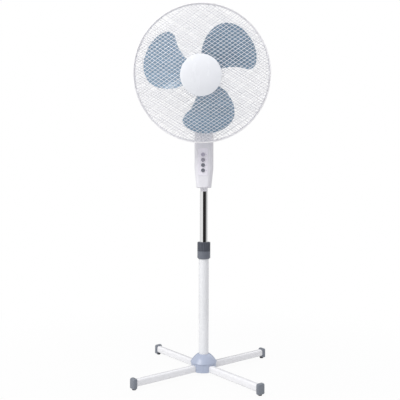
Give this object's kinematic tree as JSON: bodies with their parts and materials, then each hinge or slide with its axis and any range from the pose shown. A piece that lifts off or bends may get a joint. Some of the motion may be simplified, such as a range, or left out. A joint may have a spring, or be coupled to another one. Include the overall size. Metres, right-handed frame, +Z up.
{
  "type": "pedestal fan",
  "caption": "Pedestal fan: three twisted blades in a domed diamond-mesh guard, tilting and oscillating head, push-button housing, telescopic chromed pole, crossed tube base.",
  "frame": {"origin": "on the floor at the pole's axis, at the level of the foot pads' undersides", "axes": "+Z up along the pole; the buttons face -Y; +X to the right of someone facing the buttons"},
  "size_m": [0.4295, 0.4078, 1.1705],
  "materials": {
    "white_plastic": "satin moulded white plastic",
    "panel_plastic": "pale lavender-white plastic",
    "guard_white": "white powder-coated welded wire",
    "tube_white": "white enamelled steel tube",
    "blade_blue": "blue-grey translucent-looking moulded plastic",
    "hub_blue": "pale blue-grey moulded plastic",
    "slate_plastic": "dark slate-grey moulded plastic",
    "slate_light": "slate-grey moulded plastic",
    "button_grey": "grey plastic",
    "chrome": "bright chrome plate",
    "black_rubber": "matt black rubber",
    "zinc_steel": "zinc-plated steel",
    "cast_alloy": "die-cast alloy",
    "lamination": "stacked lamination steel",
    "copper": "enamelled copper windings",
    "bronze": "sintered bronze",
    "nylon": "natural nylon"
  },
  "bodies": {
    "base": {"base_rail_lower": "tube_white", "base_rail_upper": "tube_white", "leg_caps": "slate_light", "foot_pads": "black_rubber", "hub_cover": "hub_blue", "pole_socket": "cast_alloy", "flange_screws": "zinc_steel", "base_plate": "zinc_steel", "base_bolt": "zinc_steel", "lower_pole": "tube_white", "pole_guide_bush": "nylon", "height_collar": "slate_light", "height_collet": "nylon"},
    "lock_nut": {"height_lock_nut": "slate_plastic"},
    "column": {"upper_pole": "chrome", "pole_end_plug": "nylon", "support_pillar": "white_plastic", "housing_front": "white_plastic", "housing_rear": "white_plastic", "housing_screws": "zinc_steel", "button_panel": "panel_plastic", "speed_switch": "slate_plastic", "tilt_bolt": "zinc_steel", "tilt_nut": "zinc_steel"},
    "neck": {"neck": "white_plastic", "swivel_pin": "zinc_steel", "thrust_washer": "nylon", "link_pin": "zinc_steel"},
    "link": {"swing_link": "zinc_steel"},
    "head": {"stator_core": "lamination", "stator_windings": "copper", "front_bearing": "bronze", "rear_bearing": "bronze", "motor_front_bracket": "cast_alloy", "gear_case": "cast_alloy", "gear_lid": "zinc_steel", "motor_rear_cover": "white_plastic", "motor_front_cover": "white_plastic", "front_guard": "guard_white", "rear_guard": "guard_white", "guard_ring": "white_plastic", "rear_guard_nut": "white_plastic", "badge": "white_plastic"},
    "rotor": {"motor_shaft": "zinc_steel", "rotor_core": "lamination", "fan_blade": "blade_blue", "blade_nut": "white_plastic"},
    "wheel": {"worm_wheel": "nylon"},
    "crank": {"crank": "zinc_steel"},
    "knob": {"oscillation_knob": "white_plastic"},
    "speed_3": {"speed_3_button": "button_grey"},
    "speed_2": {"speed_2_button": "button_grey"},
    "speed_1": {"speed_1_button": "button_grey"},
    "off": {"off_button": "button_grey"}
  },
  "joints": [
    {"name": "pole_height", "type": "slide", "parent": "base", "child": "column", "axis": [0, 0, 1], "range_m": [-0.155, 0.085]},
    {"name": "height_lock", "type": "hinge", "parent": "base", "child": "lock_nut", "pos_m": [0, 0, 0.415], "axis": [0, 0, 1], "range_deg": [0, 75]},
    {"name": "tilt", "type": "hinge", "parent": "column", "child": "neck", "pos_m": [0, 0, 0.886], "axis": [1, 0, 0], "range_deg": [-26, 6]},
    {"name": "oscillation", "type": "hinge", "parent": "neck", "child": "head", "pos_m": [0, -0.00968, 0.92481], "axis": [0, -0.2419, 0.9703], "range_deg": [-44, 36]},
    {"name": "spin", "type": "hinge", "parent": "head", "child": "rotor", "pos_m": [0, -0.0254, 0.98788], "axis": [0.0698, -0.9679, -0.2413], "continuous": true},
    {"name": "worm_wheel_turn", "type": "hinge", "parent": "head", "child": "wheel", "pos_m": [0.01362, 0.02902, 1.00145], "axis": [0, -0.2419, 0.9703], "continuous": true},
    {"name": "crank_turn", "type": "hinge", "parent": "head", "child": "crank", "pos_m": [0.01362, 0.04353, 0.94323], "axis": [0, -0.2419, 0.9703], "range_deg": [-80, 95]},
    {"name": "link_turn", "type": "hinge", "parent": "neck", "child": "link", "pos_m": [0.025, -0.00871, 0.92093], "axis": [0, -0.2419, 0.9703], "range_deg": [-40, 40]},
    {"name": "oscillation_knob", "type": "slide", "parent": "head", "child": "knob", "axis": [0, -0.2419, 0.9703], "range_m": [-0.006, 0]},
    {"name": "speed_3_press", "type": "slide", "parent": "column", "child": "speed_3", "axis": [0, 1, 0], "range_m": [0, 0.0035], "stiffness_N_per_m": 400, "springref_m": -0.0005},
    {"name": "speed_2_press", "type": "slide", "parent": "column", "child": "speed_2", "axis": [0, 1, 0], "range_m": [0, 0.0035], "stiffness_N_per_m": 400, "springref_m": -0.0005},
    {"name": "speed_1_press", "type": "slide", "parent": "column", "child": "speed_1", "axis": [0, 1, 0], "range_m": [0, 0.0035], "stiffness_N_per_m": 400, "springref_m": -0.0005},
    {"name": "off_press", "type": "slide", "parent": "column", "child": "off", "axis": [0, 1, 0], "range_m": [0, 0.0035], "stiffness_N_per_m": 400, "springref_m": -0.0005}
  ],
  "couplings": [
    {"joint": "worm_wheel_turn", "follows": "spin", "ratio": 0.05},
    {"joint": "crank_turn", "follows": "oscillation", "ratio": -2.1},
    {"joint": "link_turn", "follows": "oscillation", "ratio": 0.9}
  ]
}
